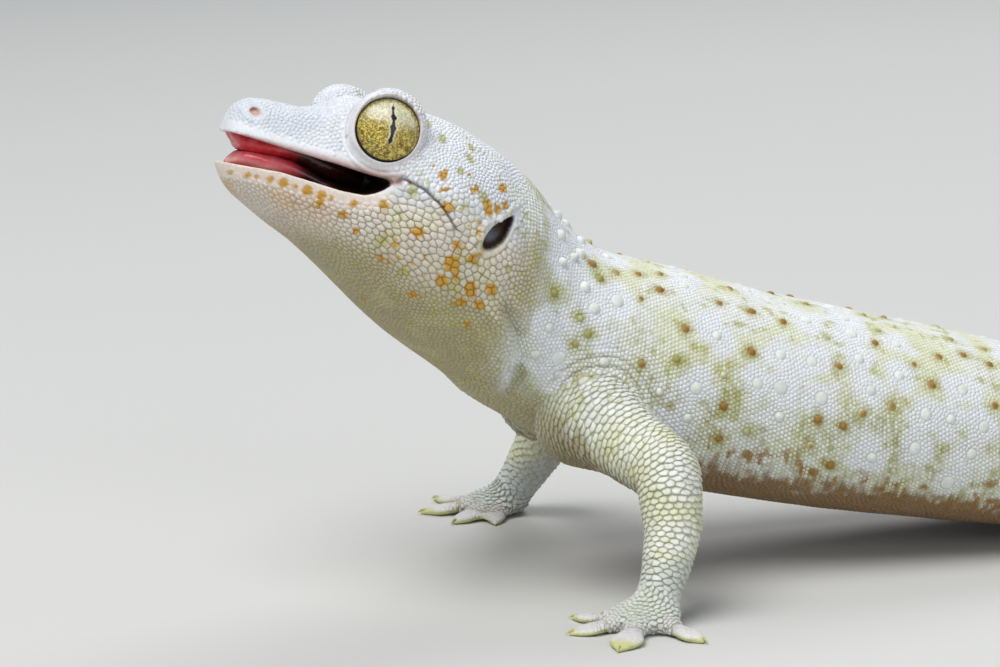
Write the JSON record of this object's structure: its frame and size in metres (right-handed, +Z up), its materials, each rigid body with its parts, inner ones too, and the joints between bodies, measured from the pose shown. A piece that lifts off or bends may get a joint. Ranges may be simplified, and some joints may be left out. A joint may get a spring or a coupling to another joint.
{
  "type": "tokay gecko",
  "caption": "Life-size still model of a tokay gecko with raised head and open mouth, resting on hands, feet, belly and tail.",
  "frame": {"origin": "on the floor, under the middle of the whole animal's box", "axes": "nose towards -Y, tail towards +Y, the animal's left side towards +X, +Z up"},
  "size_m": [0.115, 0.2828, 0.0678],
  "materials": {
    "skin": "pale cream-white scaly skin with ochre and olive spots",
    "limb": "pale yellow-green overlapping scales",
    "mouth": "moist crimson to pink tongue and mouth lining",
    "eye": "glossy gold-olive eye with a dark slit pupil"
  },
  "bodies": {
    "root": {"head": "skin", "lower_jaw": "skin", "tongue": "mouth", "eye_left": "eye", "eye_right": "eye", "neck": "skin", "chest": "skin", "torso": "skin", "belly": "skin", "pelvis": "skin", "tail_1": "skin", "tail_2": "skin", "tail_3": "skin", "tail_4": "skin", "arm_left_upper": "limb", "arm_left_lower": "limb", "hand_left": "limb", "arm_right_upper": "limb", "arm_right_lower": "limb", "hand_right": "limb", "leg_left_upper": "limb", "leg_left_lower": "limb", "foot_left": "limb", "leg_right_upper": "limb", "leg_right_lower": "limb", "foot_right": "limb"}
  },
  "joints": []
}
